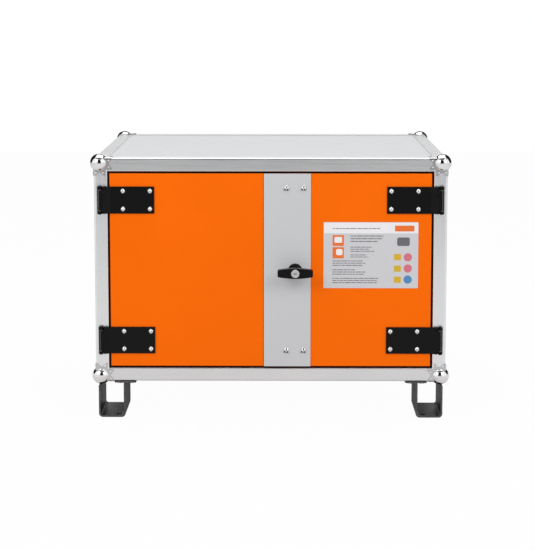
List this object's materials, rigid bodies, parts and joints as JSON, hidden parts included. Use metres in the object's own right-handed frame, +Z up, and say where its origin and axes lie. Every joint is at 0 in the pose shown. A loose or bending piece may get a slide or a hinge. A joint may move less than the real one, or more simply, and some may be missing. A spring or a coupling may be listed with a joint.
{
  "type": "battery cabinet",
  "caption": "Low insulated storage cabinet in an aluminium profile frame with ball corners, two hinged doors, a rod lock worked by a wing handle, a slotted shelf and bent steel feet.",
  "frame": {"origin": "on the floor, at the centre of the four floor holes in the feet", "axes": "+X to the cabinet's right as seen from the front, along its longest side; +Y from the doors to the back; +Z up, its shortest side"},
  "size_m": [0.8, 0.6988, 0.594],
  "materials": {
    "frame_profile": "natural anodised, satin",
    "ball_corner": "polished chrome plate",
    "outer_sheet": "smooth light grey powder coat",
    "insulating_board": "pressed wood-fibre insulating board, painted light grey",
    "seal_rubber": "matt black rubber",
    "door_paint": "smooth bright orange powder coat",
    "hinge_black": "satin black powder coat",
    "bright_fasteners": "bright zinc plate",
    "cover_strip": "smooth light grey powder coat",
    "handle_plastic": "satin black plastic",
    "lock_plug": "satin nickel plate",
    "lock_steel": "zinc plate",
    "shelf_paint": "smooth grey powder coat",
    "foot_paint": "fine-textured black powder coat"
  },
  "bodies": {
    "cabinet": {"ball_corner_bottom_front_left": "ball_corner", "ball_corner_bottom_front_right": "ball_corner", "ball_corner_bottom_rear_left": "ball_corner", "ball_corner_bottom_rear_right": "ball_corner", "ball_corner_top_front_left": "ball_corner", "ball_corner_top_front_right": "ball_corner", "ball_corner_top_rear_left": "ball_corner", "ball_corner_top_rear_right": "ball_corner", "bottom_panel": "outer_sheet", "door_seal": "seal_rubber", "floor_board": "insulating_board", "foot_bolts": "bright_fasteners", "foot_front_left": "foot_paint", "foot_front_right": "foot_paint", "foot_rear_left": "foot_paint", "foot_rear_right": "foot_paint", "frame_hinge_leaves": "hinge_black", "hinge_pins": "hinge_black", "left_board": "insulating_board", "left_panel": "outer_sheet", "post_front_left": "frame_profile", "post_front_right": "frame_profile", "post_rear_left": "frame_profile", "post_rear_right": "frame_profile", "rail_bottom_front": "frame_profile", "rail_bottom_left": "frame_profile", "rail_bottom_rear": "frame_profile", "rail_bottom_right": "frame_profile", "rail_top_front": "frame_profile", "rail_top_left": "frame_profile", "rail_top_rear": "frame_profile", "rail_top_right": "frame_profile", "rear_board": "insulating_board", "rear_panel": "outer_sheet", "right_board": "insulating_board", "right_panel": "outer_sheet", "rod_keepers": "lock_steel", "roof_board": "insulating_board", "shelf": "shelf_paint", "shelf_ledges": "shelf_paint", "top_panel": "outer_sheet"},
    "left_door": {"left_door_board": "insulating_board", "left_door_skin": "door_paint", "left_hinge_leaves": "hinge_black", "left_hinge_rivets": "bright_fasteners"},
    "right_door": {"right_door_board": "insulating_board", "right_door_skin": "door_paint", "right_hinge_leaves": "hinge_black", "right_hinge_rivets": "bright_fasteners", "cover_strip": "cover_strip", "strip_bolts": "bright_fasteners", "handle_rosette": "handle_plastic", "lock_case": "lock_steel", "rod_guides": "lock_steel"},
    "handle": {"wing_handle": "handle_plastic", "lock_pinion": "lock_steel"},
    "key_plug": {"lock_plug": "lock_plug"},
    "upper_rod": {"upper_rod": "lock_steel"},
    "lower_rod": {"lower_rod": "lock_steel"}
  },
  "joints": [
    {"name": "left_door_hinge", "type": "hinge", "parent": "cabinet", "child": "left_door", "pos_m": [-0.378, -0.327, 0.334], "axis": [0, 0, -1], "range_deg": [0, 180]},
    {"name": "right_door_hinge", "type": "hinge", "parent": "cabinet", "child": "right_door", "pos_m": [0.378, -0.327, 0.334], "axis": [0, 0, 1], "range_deg": [0, 180]},
    {"name": "handle_turn", "type": "hinge", "parent": "right_door", "child": "handle", "pos_m": [0.0545, -0.34, 0.334], "axis": [0, -1, 0], "range_deg": [0, 90]},
    {"name": "key_turn", "type": "hinge", "parent": "handle", "child": "key_plug", "pos_m": [0.0545, -0.36, 0.334], "axis": [0, -1, 0], "range_deg": [0, 90]},
    {"name": "upper_rod_slide", "type": "slide", "parent": "right_door", "child": "upper_rod", "axis": [0, 0, 1], "range_m": [0, 0.01413]},
    {"name": "lower_rod_slide", "type": "slide", "parent": "right_door", "child": "lower_rod", "axis": [0, 0, -1], "range_m": [0, 0.0142]}
  ],
  "couplings": [
    {"joint": "handle_turn", "follows": "upper_rod_slide", "rad_per_m": 111.11},
    {"joint": "lower_rod_slide", "follows": "upper_rod_slide", "ratio": 1}
  ]
}
